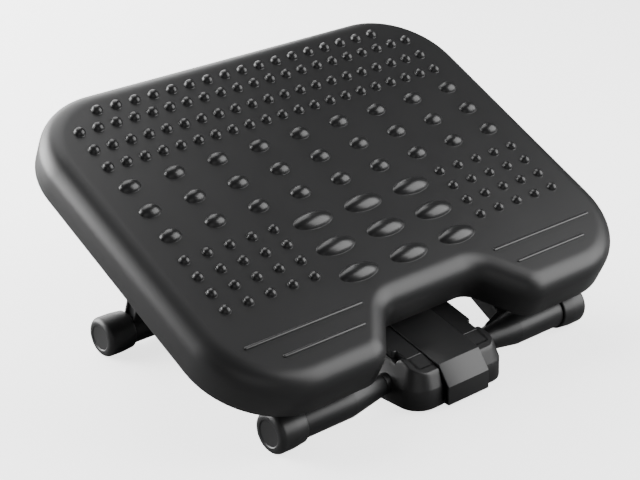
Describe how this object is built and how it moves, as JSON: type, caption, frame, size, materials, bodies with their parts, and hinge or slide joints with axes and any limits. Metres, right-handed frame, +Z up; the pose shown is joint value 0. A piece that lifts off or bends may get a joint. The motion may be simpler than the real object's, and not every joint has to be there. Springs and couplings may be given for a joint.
{
  "type": "tilting under desk footrest",
  "caption": "Free-standing footrest with a tilting rounded platform covered in massage bumps, folding legs with rubber-capped feet and a pedal that frees the height.",
  "frame": {"origin": "on the floor under the middle of the overall box, feet at z = 0", "axes": "+X along the crossbars to the user's right, +Y from the user's pedal side to the raised rear edge, +Z up"},
  "size_m": [0.45, 0.3285, 0.228],
  "materials": {
    "platform_plastic": "fine matte grain on the plate, glossier raised bumps",
    "frame_plastic": "smooth satin moulding",
    "pod_plastic": "satin moulding",
    "pedal_plastic": "satin moulding",
    "cap_rubber": "smooth soft rubber",
    "nylon": "moulded nylon",
    "zinc_steel": "zinc plated",
    "spring_steel": "drawn wire and stamped discs",
    "black_steel": "black painted sheet steel",
    "brake_lining": "pressed friction lining"
  },
  "bodies": {
    "front_leg": {"front_leg_left": "frame_plastic", "front_leg_right": "frame_plastic", "front_bar_core": "zinc_steel", "front_foot_cap_left": "cap_rubber", "front_foot_cap_right": "cap_rubber", "pod_housing": "pod_plastic", "pod_cover": "pod_plastic", "pod_screws": "zinc_steel", "spine_plate_left": "black_steel", "spine_plate_right": "black_steel", "spine_spacer": "zinc_steel", "spine_rivet": "zinc_steel", "main_axle": "zinc_steel", "axle_end_caps": "nylon", "axle_spacers": "nylon", "leg_washers": "nylon", "brake_steel_discs": "zinc_steel", "brake_spring": "spring_steel", "pedal_spring": "spring_steel"},
    "rear_leg": {"rear_leg_left": "frame_plastic", "rear_leg_right": "frame_plastic", "rear_yoke": "frame_plastic", "rear_bar_core": "zinc_steel", "rear_foot_cap_left": "cap_rubber", "rear_foot_cap_right": "cap_rubber", "brake_fibre_discs": "brake_lining"},
    "platform": {"platform_shell": "platform_plastic", "platform_ribs": "platform_plastic", "axle_bracket_left": "frame_plastic", "axle_bracket_right": "frame_plastic", "axle_bush_left": "nylon", "axle_bush_right": "nylon", "bracket_screws": "zinc_steel"},
    "pedal": {"foot_pedal": "pedal_plastic", "pedal_rod_pin": "zinc_steel"},
    "release_rod": {"release_rod": "black_steel"},
    "brake_lever": {"brake_lever": "black_steel"}
  },
  "joints": [
    {"name": "leg_spread", "type": "hinge", "parent": "front_leg", "child": "rear_leg", "pos_m": [0, 0.0192, 0.0997], "axis": [1, 0, 0], "range_deg": [0, 36]},
    {"name": "platform_tilt", "type": "hinge", "parent": "front_leg", "child": "platform", "pos_m": [0, 0.0192, 0.0997], "axis": [1, 0, 0], "range_deg": [-27.2, 2.8]},
    {"name": "pedal_press", "type": "hinge", "parent": "front_leg", "child": "pedal", "pos_m": [0, -0.1193, 0.018], "axis": [1, 0, 0], "range_deg": [0, 3.2], "stiffness_Nm_per_rad": 4, "springref_deg": -8.59, "deforming": ["pedal_spring"]},
    {"name": "rod_swing", "type": "hinge", "parent": "pedal", "child": "release_rod", "pos_m": [-0.021, -0.0953, 0.036], "axis": [1, 0, 0], "range_deg": [-3.75, 0]},
    {"name": "brake_ease", "type": "hinge", "parent": "front_leg", "child": "brake_lever", "pos_m": [-0.0225, 0.0192, 0.0997], "axis": [1, 0, 0], "range_deg": [-1.5, 0]}
  ],
  "couplings": [
    {"joint": "rod_swing", "follows": "pedal_press", "ratio": -1.1694},
    {"joint": "brake_ease", "follows": "pedal_press", "ratio": -0.4537}
  ]
}
